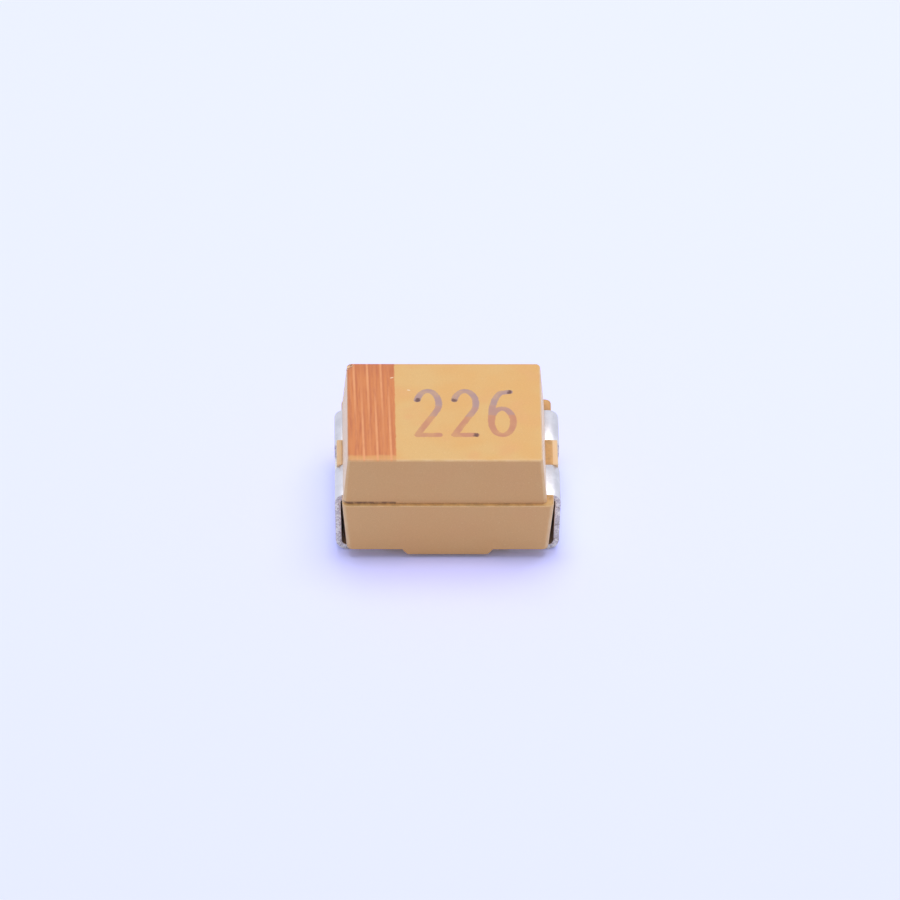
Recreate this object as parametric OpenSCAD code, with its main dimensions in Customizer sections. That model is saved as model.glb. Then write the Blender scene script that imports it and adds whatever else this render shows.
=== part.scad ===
// Surface-mount tantalum capacitor in a moulded case, 3528-21 size.
// Origin: on the board, under the middle of the case. +X is the cathode end, -X the anode end,
// which carries the polarity band. The board is the plane z = 0.

/* [Overall] */
// Length over the two terminals
total_l = 3.5; // [3.3:0.05:3.8]
// Width of the case at the parting line
case_w = 2.8; // [2.7:0.05:3.2]
// Height from the board to the top of the case
total_h = 1.85; // [1.78:0.01:2.1]

/* [Moulded case] */
// Height of the parting line, where the leads come out, above the board
parting_z = 1.06; // [1:0.01:1.12]
// Height of the underside of the case above the board
floor_z = 0.16; // [0.12:0.01:0.2]
// Slope of the walls, in degrees, that lets each half leave its mould
draft = 5; // [3:0.5:7]
// How far the lower half stands out past the upper half at the parting line
ledge = 0.065; // [0.055:0.005:0.1]
// How far the two halves of the mould were out of line, along X
mould_shift = -0.05; // [-0.05:0.01:0.05]
// Radius of the four upright corners
corner_r = 0.1; // [0.08:0.01:0.15]
// Radius round the top face
top_edge_r = 0.06; // [0.03:0.01:0.07]
// Radius round the edge of the ledge
ledge_edge_r = 0.03; // [0.02:0.01:0.05]
// Length of the glue pad under the case, where it leaves the underside
pad_l = 1.4; // [1:0.05:1.5]
// Height of the glue pad's face above the board
pad_z = 0.06; // [0.03:0.01:0.09]
// Slope of the glue pad's ends, in degrees from upright
pad_slope = 40; // [20:5:60]

/* [Leads] */
// Thickness of the lead strip
lead_t = 0.09; // [0.08:0.01:0.12]
// Width of both terminals
lead_w = 2.2; // [2:0.05:2.3]
// Length of each foot along the board
foot_l = 0.8; // [0.6:0.05:0.9]
// Gap between the leg and the case at the parting line
leg_gap = 0.02; // [0.01:0.01:0.04]
// Angle by which the legs lean in towards the case
leg_lean = 1.5; // [0:0.5:3]
// Inside radius of the bend where the lead leaves the case
shoulder_r = 0.07; // [0.05:0.01:0.1]
// Inside radius of the bend at the foot
heel_r = 0.1; // [0.06:0.01:0.14]
// Width of the window through each bend
window_w = 0.64; // [0.5:0.02:0.8]
// Height of the lower end of the window above the board
window_z = 0.72; // [0.6:0.02:0.8]
// How far the window reaches into the case
window_depth = 0.18; // [0.12:0.01:0.2]
// How far the resin tongue stops short of the outside of the terminal
tongue_gap = 0.03; // [0.01:0.01:0.06]

/* [Anode] */
// Length of the sintered pellet
pellet_l = 1.75; // [1.5:0.05:1.8]
// Width of the sintered pellet
pellet_w = 1.95; // [1.7:0.05:2.05]
// Height of the sintered pellet
pellet_h = 1; // [0.8:0.02:1.04]
// Radius of the pellet's long edges
pellet_r = 0.1; // [0.05:0.01:0.2]
// Diameter of the anode wire
wire_d = 0.24; // [0.2:0.01:0.3]
// Length of wire sintered into the pellet
wire_seat = 1.1; // [0.8:0.05:1.3]
// Height of the wire's axis above the parting line
wire_rise = 0.01; // [-0.02:0.01:0.02]
// Resin left between the end of the wire and the end of the case
wire_wall = 0.33; // [0.28:0.01:0.38]
// Outside diameter of the insulating washer
washer_d = 0.75; // [0.5:0.05:0.8]
// Thickness of the insulating washer
washer_t = 0.1; // [0.06:0.01:0.12]

/* [Coats on the pellet] */
// Thickness of the manganese dioxide
manganese_t = 0.04; // [0.02:0.01:0.05]
// Thickness of the carbon
carbon_t = 0.02; // [0.01:0.005:0.03]
// Thickness of the silver paint
silver_t = 0.03; // [0.02:0.01:0.04]
// How far each outer coat stops short of the one under it, at the anode end
coat_step = 0.07; // [0.04:0.01:0.1]
// Thickness of the silver adhesive between the silver paint and the cathode lead
adhesive_t = 0.03; // [0.02:0.01:0.04]

/* [Leads inside the case] */
// Width of the cathode lead's cradle under the pellet
cradle_w = 1.7; // [1.4:0.05:1.9]
// Length of the cradle along the underside of the pellet
cradle_l = 1; // [0.6:0.05:1.2]
// Inside radius of the cradle's two bends
cradle_r = 0.04; // [0.03:0.01:0.06]
// Resin left between the cradle's riser and the end of the case
riser_wall = 0.28; // [0.26:0.01:0.32]
// How far the adhesive stays back from the edges of the cradle
adhesive_inset = 0.1; // [0.05:0.01:0.2]
// Width of the anode lead's tab, which holds the wire
tab_w = 1.2; // [0.8:0.05:1.6]
// Length of the bar that joins the two sides of the window on the anode lead
tab_bar = 0.18; // [0.12:0.01:0.24]
// Gap between the tab and the washer
tab_gap = 0.06; // [0.04:0.01:0.1]

/* [Hidden] */

// Facets of the round corners of the case, and of full circles
corner_fn = 32;
circle_fn = 64;
// Angle of one step along a bend in a lead
bend_step = 7.5;
// Thinnest disc used to hold a corner in a hull
sliver = 0.001;
// A cut runs this far past the face that it opens
cut = 0.2;

// Case
case_l = total_l - 2 * (lead_t + leg_gap);
upper_l = case_l - 2 * ledge;
upper_w = case_w - 2 * ledge;
upper_inset = (total_h - parting_z) * tan(draft);
lower_inset = (parting_z - floor_z) * tan(draft);
underside_w = case_w - 2 * lower_inset;
pad_inset = (floor_z - pad_z) * tan(pad_slope);
pad_draft = (floor_z - pad_z) * tan(draft);

// Lead strip, drawn for the +X side in the plane of X and Z
strip_top = parting_z;
strip_z = parting_z - lead_t;
terminal_x = total_l / 2;
shoulder = [terminal_x - lead_t - shoulder_r, strip_z - shoulder_r];
heel_side = shoulder_r - heel_r;
leg_l = (shoulder[1] - heel_side * sin(leg_lean) - lead_t - heel_r) / cos(leg_lean);
heel = [shoulder[0] + heel_side * cos(leg_lean) - leg_l * sin(leg_lean), lead_t + heel_r];
foot_tip_x = terminal_x - foot_l;
window_x = case_l / 2 - window_depth;

// Stack inside the case, from the wire's axis downwards and from the riser inwards
wire_z = parting_z + wire_rise;
coats_t = manganese_t + carbon_t + silver_t;
cradle_top = wire_z - pellet_h / 2 - coats_t - adhesive_t;
riser_x = case_l / 2 - riser_wall - lead_t;
pellet_x = riser_x - adhesive_t - coats_t - pellet_l;
coat_face_x = pellet_x - manganese_t;
washer_x = coat_face_x - washer_t;
tab_end_x = washer_x - tab_gap;
wire_end_x = -(case_l / 2 - wire_wall);
cradle_tip_x = riser_x - cradle_l;

// Points along an arc round the centre c, both ends included
function arc(c, r, from, to) =
    let (steps = max(2, ceil(abs(to - from) / bend_step)))
    [for (i = [0:steps]) let (a = from + (to - from) * i / steps) c + r * [cos(a), sin(a)]];

// Outline of the terminal: strip, shoulder, leg, heel and foot, outer side first
function terminal_outline(inner_x) = concat(
    [[inner_x, strip_top]],
    arc(shoulder, shoulder_r + lead_t, 90, -leg_lean),
    arc(heel, heel_r + lead_t, -leg_lean, -90),
    [[foot_tip_x, 0], [foot_tip_x, lead_t]],
    arc(heel, heel_r, -90, -leg_lean),
    arc(shoulder, shoulder_r, -leg_lean, 90),
    [[inner_x, strip_z]]);

// Outline of the cathode lead's cradle: bend, riser and the leaf under the pellet
function cradle_outline() = let (
    top_bend = [riser_x + lead_t + cradle_r, strip_z - cradle_r],
    low_bend = [riser_x - cradle_r, cradle_top + cradle_r]) concat(
    [[window_x, strip_z], [window_x, strip_top]],
    arc(top_bend, cradle_r + lead_t, 90, 180),
    arc(low_bend, cradle_r, 0, -90),
    [[cradle_tip_x, cradle_top], [cradle_tip_x, cradle_top - lead_t]],
    arc(low_bend, cradle_r + lead_t, -90, 0),
    arc(top_bend, cradle_r, 180, 90));

// A plate of the given width, centred on y = 0, from an outline in X and Z
module plate(outline, w) {
    rotate([90, 0, 0]) linear_extrude(w, center = true) polygon(outline);
}

// A disc whose upper or lower rim is rounded, for the corners of a moulding
module rounded_disc(r, edge) {
    rotate_extrude($fn = corner_fn) intersection() {
        union() {
            translate([r - edge, 0]) circle(edge, $fn = corner_fn);
            translate([0, -edge]) square([r - edge, 2 * edge]);
        }
        square([r, 2 * edge], center = false);
    }
}

// The child at the four corners of a rectangle, set in by the corner radius
module at_corners(l, w) {
    for (x = [-1, 1], y = [-1, 1])
        translate([x * (l / 2 - corner_r), y * (w / 2 - corner_r), 0]) children();
}

// Upper half of the moulding, with its top edge rounded
module upper_half() {
    hull() {
        translate([0, 0, parting_z]) at_corners(upper_l, upper_w)
            cylinder(sliver, r = corner_r, $fn = corner_fn);
        translate([0, 0, total_h - top_edge_r])
            at_corners(upper_l - 2 * upper_inset, upper_w - 2 * upper_inset)
                rounded_disc(corner_r, top_edge_r);
    }
}

// Lower half of the moulding, a little larger than the upper half
module lower_half() {
    hull() {
        translate([0, 0, parting_z - ledge_edge_r]) at_corners(case_l, case_w)
            rounded_disc(corner_r, ledge_edge_r);
        translate([0, 0, floor_z])
            at_corners(case_l - 2 * lower_inset, underside_w)
                cylinder(sliver, r = corner_r, $fn = corner_fn);
    }
}

// Pad under the case that takes the glue dot on the board
module glue_pad() {
    rotate([0, 90, 0]) rotate([0, 0, 90]) hull() {
        linear_extrude(pad_l, center = true)
            translate([-underside_w / 2, floor_z]) square([underside_w, sliver]);
        linear_extrude(pad_l - 2 * pad_inset, center = true)
            translate([-underside_w / 2 + pad_draft, pad_z])
                square([underside_w - 2 * pad_draft, sliver]);
    }
}

// Resin that filled the windows while the leads were still flat
module window_tongues() {
    reach = terminal_x - tongue_gap;
    translate([-reach, -window_w / 2, strip_z]) cube([2 * reach, window_w, lead_t]);
}

// One terminal with its window, on the +X side
module terminal(inner_x) {
    difference() {
        plate(terminal_outline(inner_x), lead_w);
        translate([window_x, -window_w / 2, window_z])
            cube([terminal_x - window_x + cut, window_w, parting_z - window_z + cut]);
    }
}

// A bar along X with its long edges rounded, from x0 to x1 and centred on the wire
module wrapped_bar(x0, x1, grow) {
    w = pellet_w + 2 * grow;
    h = pellet_h + 2 * grow;
    r = pellet_r + grow;
    translate([x0, 0, wire_z]) rotate([90, 0, 90]) linear_extrude(x1 - x0) {
        square([w - 2 * r, h], center = true);
        square([w, h - 2 * r], center = true);
        for (y = [-1, 1], z = [-1, 1])
            translate([y * (w / 2 - r), z * (h / 2 - r)]) circle(r, $fn = circle_fn);
    }
}

// The pellet with its coats up to the given number, as one filled block
module coated_block(coats) {
    grow = coats == 0 ? 0 : coats == 1 ? manganese_t : coats == 2 ? manganese_t + carbon_t : coats_t;
    start = coats == 0 ? pellet_x : coat_face_x + (coats - 1) * coat_step;
    wrapped_bar(start, pellet_x + pellet_l + grow, grow);
}

// Round bar along X on the wire's axis
module axial_rod(x0, x1, d) {
    translate([x0, 0, wire_z]) rotate([0, 90, 0]) cylinder(x1 - x0, d = d, $fn = circle_fn);
}

// Moulded epoxy, with the space that everything inside it takes up
module moulded_case() {
    color([0.90, 0.73, 0.51]) difference() {
        union() {
            translate([mould_shift, 0, 0]) upper_half();
            lower_half();
            glue_pad();
            window_tongues();
        }
        anode_lead();
        cathode_lead();
        anode_wire();
        insulating_washer();
        for (coats = [1:3]) coated_block(coats);
        silver_adhesive();
    }
}

// Tinned lead on the band's side, notched for the wire that is welded to it
module anode_lead() {
    color([0.80, 0.79, 0.81]) difference() {
        union() {
            mirror([1, 0, 0]) terminal(window_x - tab_bar);
            translate([-window_x, -tab_w / 2, strip_z])
                cube([tab_end_x + window_x, tab_w, lead_t]);
        }
        anode_wire();
    }
}

// Tinned lead that cradles the coated pellet
module cathode_lead() {
    color([0.80, 0.79, 0.81]) {
        terminal(window_x);
        plate(cradle_outline(), cradle_w);
    }
}

// Tantalum wire, sintered into the pellet
module anode_wire() {
    color([0.45, 0.46, 0.50]) axial_rod(wire_end_x, pellet_x + wire_seat, wire_d);
}

// Sintered tantalum; its oxide is inside the pores and too thin to draw
module anode_pellet() {
    color([0.30, 0.31, 0.35]) difference() {
        coated_block(0);
        anode_wire();
    }
}

// Solid electrolyte all round the pellet
module manganese_dioxide_layer() {
    color([0.14, 0.12, 0.12]) difference() {
        coated_block(1);
        coated_block(0);
        anode_wire();
    }
}

// Graphite over the electrolyte, clear of the anode face
module carbon_layer() {
    color([0.08, 0.08, 0.09]) difference() {
        coated_block(2);
        coated_block(1);
    }
}

// Silver paint over the graphite
module silver_paint_layer() {
    color([0.74, 0.75, 0.76]) difference() {
        coated_block(3);
        coated_block(2);
    }
}

// Conductive adhesive in the corner between the silver paint and the cradle
module silver_adhesive() {
    leaf_x = cradle_tip_x + adhesive_inset;
    top_z = strip_z - cradle_r - adhesive_inset;
    silver_end = riser_x - adhesive_t;
    silver_z = cradle_top + adhesive_t;
    color([0.62, 0.61, 0.60]) difference() {
        plate([[leaf_x, cradle_top], [riser_x, cradle_top], [riser_x, top_z],
               [silver_end, top_z], [silver_end, silver_z], [leaf_x, silver_z]],
              cradle_w - 2 * adhesive_inset);
        cathode_lead();
    }
}

// Washer that keeps the electrolyte off the wire
module insulating_washer() {
    color([0.93, 0.93, 0.91]) difference() {
        axial_rod(washer_x, coat_face_x, washer_d);
        anode_wire();
    }
}

moulded_case();
anode_lead();
cathode_lead();
anode_wire();
anode_pellet();
manganese_dioxide_layer();
carbon_layer();
silver_paint_layer();
silver_adhesive();
insulating_washer();
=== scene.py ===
"""Dresses a moulded tantalum chip capacitor: its case, folded leads and the parts sealed inside."""

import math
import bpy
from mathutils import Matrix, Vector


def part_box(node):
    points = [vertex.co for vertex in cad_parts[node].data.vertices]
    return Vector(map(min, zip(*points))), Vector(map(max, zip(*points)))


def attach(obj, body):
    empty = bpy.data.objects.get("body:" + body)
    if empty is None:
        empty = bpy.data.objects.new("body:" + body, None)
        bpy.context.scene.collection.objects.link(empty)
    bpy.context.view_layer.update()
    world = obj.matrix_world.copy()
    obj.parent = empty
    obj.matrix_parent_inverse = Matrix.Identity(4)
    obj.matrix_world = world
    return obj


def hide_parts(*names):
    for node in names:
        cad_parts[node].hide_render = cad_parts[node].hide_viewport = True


bl_info = {
    "name": "Tantalum Chip Capacitor",
    "version": (1, 0, 0),
    "blender": (4, 5, 0),
    "location": "View3D > Sidebar > Capacitor",
    "description": "Builds the case, leads, finishes and stage of a moulded chip capacitor",
    "category": "Add Mesh",
}

from types import SimpleNamespace

import bmesh
import bpy
from bpy.props import FloatProperty, FloatVectorProperty, IntProperty, PointerProperty, StringProperty
from mathutils import Matrix, Vector, noise

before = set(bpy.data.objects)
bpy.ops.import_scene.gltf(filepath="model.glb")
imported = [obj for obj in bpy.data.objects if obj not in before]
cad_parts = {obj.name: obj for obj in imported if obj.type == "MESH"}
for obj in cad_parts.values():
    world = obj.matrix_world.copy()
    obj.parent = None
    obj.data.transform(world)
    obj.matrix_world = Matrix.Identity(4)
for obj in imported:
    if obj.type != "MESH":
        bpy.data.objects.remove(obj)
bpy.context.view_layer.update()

MM = 0.001
SMOOTH = 35  # degrees up to which neighbouring faces are shaded as one surface
STEP = 0.01  # millimetres over which a strip changes its width
PLAY = 0.003  # millimetres that keep the faces of two touching solids apart while one is cut by the other
NEAR = 1e-5  # millimetres within which two places count as one


def box_mm(node):
    """The lowest and highest corners of a CAD node, in millimetres."""
    return [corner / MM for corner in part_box(node)]


CASE_BOX = box_mm("moulded_case")
CATHODE_BOX = box_mm("cathode_lead")
ANODE_BOX = box_mm("anode_lead")
PELLET_BOX = box_mm("anode_pellet")
ADHESIVE_BOX = box_mm("silver_adhesive")


def tint(red, green, blue):
    """Linear colour of a paint-chart colour given in steps of 0 to 255."""
    return tuple(
        c / 12.92 if c <= 0.04045 else ((c + 0.055) / 1.055) ** 2.4
        for c in (red / 255, green / 255, blue / 255)
    )


def length(name, description, default):
    """A length property; its default is given in millimetres."""
    return FloatProperty(name=name, description=description, default=default * MM, unit="LENGTH", precision=6)


def angle(name, description, degrees):
    """An angle property with its default in degrees."""
    return FloatProperty(name=name, description=description, default=math.radians(degrees), subtype="ANGLE")


def colour(name, description, default):
    """A colour property."""
    return FloatVectorProperty(
        name=name, description=description, default=default, subtype="COLOR", min=0, max=1
    )


# ---------------------------------------------------------------- sizes and colours


class CaseSizes(bpy.types.PropertyGroup):
    """Sizes of the moulded case"""

    parting: length("Parting line", "Height of the parting line above the board", CATHODE_BOX[1].z)
    underside: length("Underside", "Height of the underside above the board", 0.16)
    draft: angle("Draft", "Slope of the walls that lets each half leave its mould", 5)
    ledge: length("Ledge", "How far the lower half stands out past the upper half", 0.065)
    shift: length("Mould shift", "How far the upper half sits out of line, along X", -0.05)
    corner: length("Corner radius", "Radius of the lower half's upright corners", 0.1)
    upper_corner: length("Upper corner radius", "Radius of the upper half's upright corners", 0.075)
    top_edge: length("Top edge radius", "Radius round the top face", 0.045)
    ledge_edge: length("Ledge radius", "Radius round the edge of the ledge", 0.03)
    foot_edge: length("Lower edge radius", "Radius round the underside", 0.016)
    pad: length("Glue pad length", "Length of the glue pad where it leaves the underside", 1.4)
    pad_slope: angle("Glue pad slope", "Slope of the glue pad's ends from upright", 40)
    pellet_radius: length("Pellet radius", "Radius of the pellet's long edges", 0.1)


class LeadSizes(bpy.types.PropertyGroup):
    """Sizes of the two folded leads"""

    thickness: length("Thickness", "Thickness of the lead strip", 0.09)
    foot: length("Foot", "Length of each foot along the board", 0.8)
    lean: angle("Lean", "How far the legs lean in towards the case", 1.5)
    shoulder: length("Shoulder radius", "Inside radius where the lead leaves the case", 0.07)
    heel: length("Heel radius", "Inside radius at the foot", 0.1)
    leg_gap: length("Leg gap", "Gap between each leg and the case at the parting line", 0.02)
    window: length("Window width", "Width of the window through the shoulder", 0.64)
    window_low: length("Window low end", "Height of the window's lower end above the board", 0.72)
    window_deep: length("Window depth", "How far the window reaches into the case", 0.18)
    bar: length("Anode bar", "Length of the bar inside the anode lead's window", 0.18)
    tab: length("Anode tab width", "Width of the tab that holds the wire", 1.2)
    cradle: length("Cradle width", "Width of the cradle under the pellet", 1.7)
    cradle_bend: length("Cradle radius", "Inside radius of the cradle's bends", 0.04)
    edge: length("Edge radius", "Rounding of the sheared edges", 0.007)
    bend_steps: IntProperty(name="Bend steps", description="Faces along each bend", default=14, min=4)


class MarkSizes(bpy.types.PropertyGroup):
    """Sizes of the laser marks on top of the case"""

    band_edge: length("Band edge", "Where the polarity band ends, along X", -0.815)
    band_front: length("Band front", "Where the band's tint fades at the front, along Y", -1.13)
    slant: FloatProperty(name="Slant", description="How the band's lines lean along the case", default=-0.021)
    pitch: length("Line pitch", "Distance between the light lines of the band", 0.105)
    first: length("First line", "Where the first light line of the band lies, along X", -1.43)
    line: length("Line width", "Width of a light line", 0.034)
    lines: IntProperty(name="Lines", description="Light lines in the band", default=6, min=0)
    digits: StringProperty(name="Digits", description="Plain digits beside the band", default="226")
    digit_height: length("Digit height", "Height of the digits", 1.14)
    digit_width: length("Digit width", "Width of a digit", 0.34)
    digit_pitch: length("Digit pitch", "Distance from one digit to the next", 0.575)
    digit_x: length("Digits along X", "Middle of the row of digits, along X", 0.27)
    digit_y: length("Digits along Y", "Middle of the row of digits, along Y", -0.04)
    stroke: length("Stroke width", "Width of a digit's stroke", 0.112)
    depth: length("Mark depth", "How deep the laser cuts", 0.004)
    fleck_length: length("Fleck length", "Length of the light flecks", 0.06)
    fleck_width: length("Fleck width", "Width of the light flecks", 0.028)
    margin: length("Margin", "Plain rim left round the marked field", 0.035)
    cells: IntProperty(name="Cells", description="Cells across the marked field", default=230, min=20)


class Finishes(bpy.types.PropertyGroup):
    """Colours of the finishes"""

    epoxy: colour("Epoxy", "Moulded epoxy", tint(231, 177, 102))
    epoxy_pale: colour("Epoxy, pale", "Paler clouds in the epoxy", tint(230, 184, 113))
    epoxy_warm: colour("Epoxy, warm", "Warmer clouds in the epoxy", tint(232, 174, 106))
    # Painted light: the walls' pinker tint stands in for the bluish light they catch from the floor; it is
    # the same epoxy
    epoxy_side: colour("Epoxy, walls", "Pinker epoxy of the upright walls", tint(229, 174, 124))
    epoxy_grain: colour("Epoxy, grain", "Darker grains of the filler", tint(176, 124, 72))
    epoxy_fleck: colour("Epoxy, pale grain", "Paler grains of the filler", tint(246, 214, 160))
    # Painted highlight: the lighter edges stand in for light caught on the rounded edges, not for wear
    epoxy_edge: colour("Epoxy, edges", "Epoxy rubbed lighter along the edges", tint(246, 208, 160))
    band: colour("Band", "Epoxy scorched by the laser in the band", tint(217, 130, 66))
    band_dark: colour("Band, dark", "Darkest streaks of the band", tint(198, 108, 56))
    band_line: colour("Band line", "Light lines in the band", tint(238, 161, 104))
    digit: colour("Digit", "Laser strokes of the digits", tint(202, 138, 104))
    digit_grey: colour("Digit, grey", "Greyer parts of the digits' strokes", tint(176, 144, 140))
    scorch: colour("Scorch", "Darkest spots of the laser marks", tint(92, 56, 50))
    parting: colour("Parting line", "Residue along the parting line", tint(122, 84, 62))
    # Also used as a painted highlight on the tongues' ends
    chip_and_highlight: colour("Broken epoxy", "Fresh epoxy where a corner broke off", tint(246, 218, 180))
    tin: colour("Tin", "Tin plate on the leads", tint(228, 226, 230))
    tin_cloud: colour("Tin, clouds", "Greyer clouds in the tin plate", tint(214, 212, 216))
    tin_scuff: colour("Tin, scuffs", "Rubbing marks on the tin plate", tint(160, 152, 152))
    sheared: colour("Sheared edge", "Bare metal of the sheared edges", tint(208, 202, 214))
    sheared_smear: colour("Sheared edge, smears", "Tin smeared over the sheared edges", tint(244, 240, 244))
    sheared_speck: colour("Sheared edge, specks", "Dark specks on the sheared edges", tint(128, 104, 92))
    floor: colour("Floor", "Pale floor and background", tint(239, 243, 254))


class StageSizes(bpy.types.PropertyGroup):
    """Camera and light"""

    azimuth: angle("Azimuth", "Camera's turn round the object", -1.07)
    elevation: angle("Elevation", "Camera's height above the horizon", 36.8)
    roll: angle("Roll", "Camera's tilt about its own axis", 0.67)
    lens: FloatProperty(name="Lens", description="Focal length in millimetres", default=500, min=20)
    field: length("Field", "Width of the view at the object", 13.99)
    aim_x: length("Aim X", "How far right of the object the camera looks", 0.0457)
    aim_y: length("Aim Y", "How far above the middle of the object the camera looks", 0.161)
    aim_height: length("Aim height", "Height of the point that the camera turns round", 0.9)
    lamp_size: length("Lamp size", "Side of the square lamp overhead", 80)
    lamp_power: FloatProperty(name="Lamp power", description="Its power in watts", default=0.057, min=0)
    sky_strength: FloatProperty(name="Sky strength", description="Light of the sky", default=0.51, min=0)


# ---------------------------------------------------------------- mesh helpers


def in_mm(group):
    """The values of a property group, with every length in millimetres."""
    values = SimpleNamespace()
    for prop in group.bl_rna.properties:
        if prop.identifier not in ("rna_type", "name"):
            value = getattr(group, prop.identifier)
            setattr(values, prop.identifier, value / MM if prop.unit == "LENGTH" else value)
    return values


def finished(name, bm, materials, slot, *nodes):
    """The bmesh, in millimetres, as an object that rides on the part and stands for the CAD nodes."""
    bmesh.ops.scale(bm, verts=bm.verts, vec=(MM, MM, MM))
    mesh = bpy.data.meshes.new(name)
    bm.to_mesh(mesh)
    bm.free()
    for material in materials:
        mesh.materials.append(material)
    piece = bpy.data.objects.new(name, mesh)
    bpy.context.scene.collection.objects.link(piece)
    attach(piece, "root")
    if nodes:
        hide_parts(*nodes)
    return piece


def shade(mesh, degrees):
    """Smooth shading that breaks at edges sharper than the angle."""
    mesh.shade_smooth()
    mesh.set_sharp_from_angle(angle=math.radians(degrees))


def weigh_normals(piece):
    """Lets large flat faces set the shading next to small round ones."""
    modifier = piece.modifiers.new("Flat faces", "WEIGHTED_NORMAL")
    modifier.keep_sharp = True
    modifier.weight = 100


def bmesh_of(mesh):
    """A bmesh filled from a mesh."""
    bm = bmesh.new()
    bm.from_mesh(mesh)
    return bm


def combined(bm, tool, operation):
    """The bmesh after a Boolean with another bmesh, whose faces are turned outwards; both are used up."""
    objects = []
    bmesh.ops.recalc_face_normals(tool, faces=tool.faces)
    for source in (bm, tool):
        mesh = bpy.data.meshes.new("shape")
        source.to_mesh(mesh)
        source.free()
        shape = bpy.data.objects.new("shape", mesh)
        bpy.context.scene.collection.objects.link(shape)
        objects.append(shape)
    modifier = objects[0].modifiers.new("Combine", "BOOLEAN")
    modifier.operation = operation
    modifier.solver = "EXACT"
    modifier.object = objects[1]
    evaluated = objects[0].evaluated_get(bpy.context.evaluated_depsgraph_get())
    result = bmesh_of(evaluated.data)
    for shape in objects:
        mesh = shape.data
        bpy.data.objects.remove(shape)
        bpy.data.meshes.remove(mesh)
    return result


def region(faces):
    """The faces with their edges, so that an extrusion takes away the ones it starts from."""
    return faces + list(dict.fromkeys(e for f in faces for e in f.edges))


def grown(bm, faces, offset=(0, 0, 0), scale=(1, 1, 1), about=(0, 0, 0)):
    """Extrudes the faces as one region, then scales and moves the new ones, which it returns."""
    made = bmesh.ops.extrude_face_region(bm, geom=region(faces))["geom"]
    verts = [g for g in made if isinstance(g, bmesh.types.BMVert)]
    bmesh.ops.scale(bm, verts=verts, vec=scale, space=Matrix.Translation(-Vector(about)))
    bmesh.ops.translate(bm, verts=verts, vec=offset)
    return [g for g in made if isinstance(g, bmesh.types.BMFace)]


def rounded(bm, edges, radius, segments):
    """Rounds the edges."""
    bmesh.ops.bevel(
        bm,
        geom=edges,
        offset=radius,
        offset_type="OFFSET",
        segments=segments,
        profile=0.5,
        affect="EDGES",
        material=-1,
        clamp_overlap=True,
    )


def box_bmesh(low, high):
    """A box between two corners."""
    bm = bmesh.new()
    size = Vector(high) - Vector(low)
    middle = (Vector(high) + Vector(low)) / 2
    bmesh.ops.create_cube(bm, size=1, matrix=Matrix.Translation(middle) @ Matrix.Diagonal((*size, 1)))
    return bm


def rod_bmesh(node, play=0):
    """A round bar along X that fills a CAD node's box, and stands out of it by the play."""
    low, high = box_mm(node)
    middle = (low + high) / 2
    bm = bmesh.new()
    turn = Matrix.Translation(middle) @ Matrix.Rotation(math.pi / 2, 4, "Y")
    radius = (high.z - low.z) / 2 + play
    depth = high.x - low.x + 2 * play
    bmesh.ops.create_cone(
        bm, cap_ends=True, segments=48, radius1=radius, radius2=radius, depth=depth, matrix=turn
    )
    return bm


# ---------------------------------------------------------------- moulded case


def coat_bmesh(node, sizes):
    """The outer shape of one coat on the pellet, with its long edges rounded."""
    low, high = box_mm(node)
    bm = box_bmesh(low, high)
    radius = sizes.pellet_radius + PELLET_BOX[0].z - low.z
    long_edges = [e for e in bm.edges if abs((e.verts[0].co - e.verts[1].co).x) > radius]
    rounded(bm, long_edges, radius, 8)
    return bm


def block(length_x, width_y, low_z):
    """A flat start for a moulded half: a rectangle with its corners still sharp."""
    bm = bmesh.new()
    place = Matrix.Translation((0, 0, low_z)) @ Matrix.Diagonal((length_x, width_y, 1, 1))
    bmesh.ops.create_grid(bm, x_segments=1, y_segments=1, size=0.5, matrix=place)
    return bm


def corners_rounded(bm, radius):
    """Rounds the corners of a flat start."""
    bmesh.ops.bevel(
        bm,
        geom=bm.verts[:],
        offset=radius,
        offset_type="OFFSET",
        segments=8,
        profile=0.5,
        affect="VERTICES",
        material=-1,
    )


def cut_across(bm, faces, axis, place):
    """Divides the faces where they cross a place along the axis."""
    normal = Matrix.Identity(3)[axis]
    geom = region(faces) + list(dict.fromkeys(v for f in faces for v in f.verts))
    bmesh.ops.bisect_plane(bm, geom=geom, plane_co=normal * place, plane_no=normal)


def low_flats(bm, sizes):
    """The faces of the flat underside."""
    return [f for f in bm.faces if all(v.co.z < sizes.underside + NEAR for v in f.verts)]


def lower_half(sizes, outline):
    """The lower half, widest at the parting line, with a glue pad across the middle of its underside."""
    slope = math.tan(sizes.draft)
    rise = sizes.parting - sizes.underside
    foot = [side - 2 * rise * slope for side in outline]
    bm = block(*foot, sizes.underside)
    corners_rounded(bm, sizes.corner)
    top = grown(bm, bm.faces[:], (0, 0, rise), (outline[0] / foot[0], outline[1] / foot[1], 1))
    ledge_edge = top[0].edges[:]
    for x in (-sizes.pad / 2, sizes.pad / 2):
        cut_across(bm, low_flats(bm, sizes), 0, x)
    flats = low_flats(bm, sizes)
    middle = min(flats, key=lambda f: abs(f.calc_center_median().x))
    ends = [e for f in flats if f != middle for e in f.edges if e not in middle.edges[:]]
    drop = sizes.underside - CASE_BOX[0].z
    scale = (1 - 2 * drop * math.tan(sizes.pad_slope) / sizes.pad, 1 - 2 * drop * slope / foot[1], 1)
    pad = grown(bm, [middle], (0, 0, -drop), scale)
    bmesh.ops.recalc_face_normals(bm, faces=bm.faces)
    rounded(bm, ledge_edge, sizes.ledge_edge, 4)
    rounded(bm, [e for e in ends if e.is_valid] + pad[0].edges[:], sizes.foot_edge, 3)
    return bm


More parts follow.
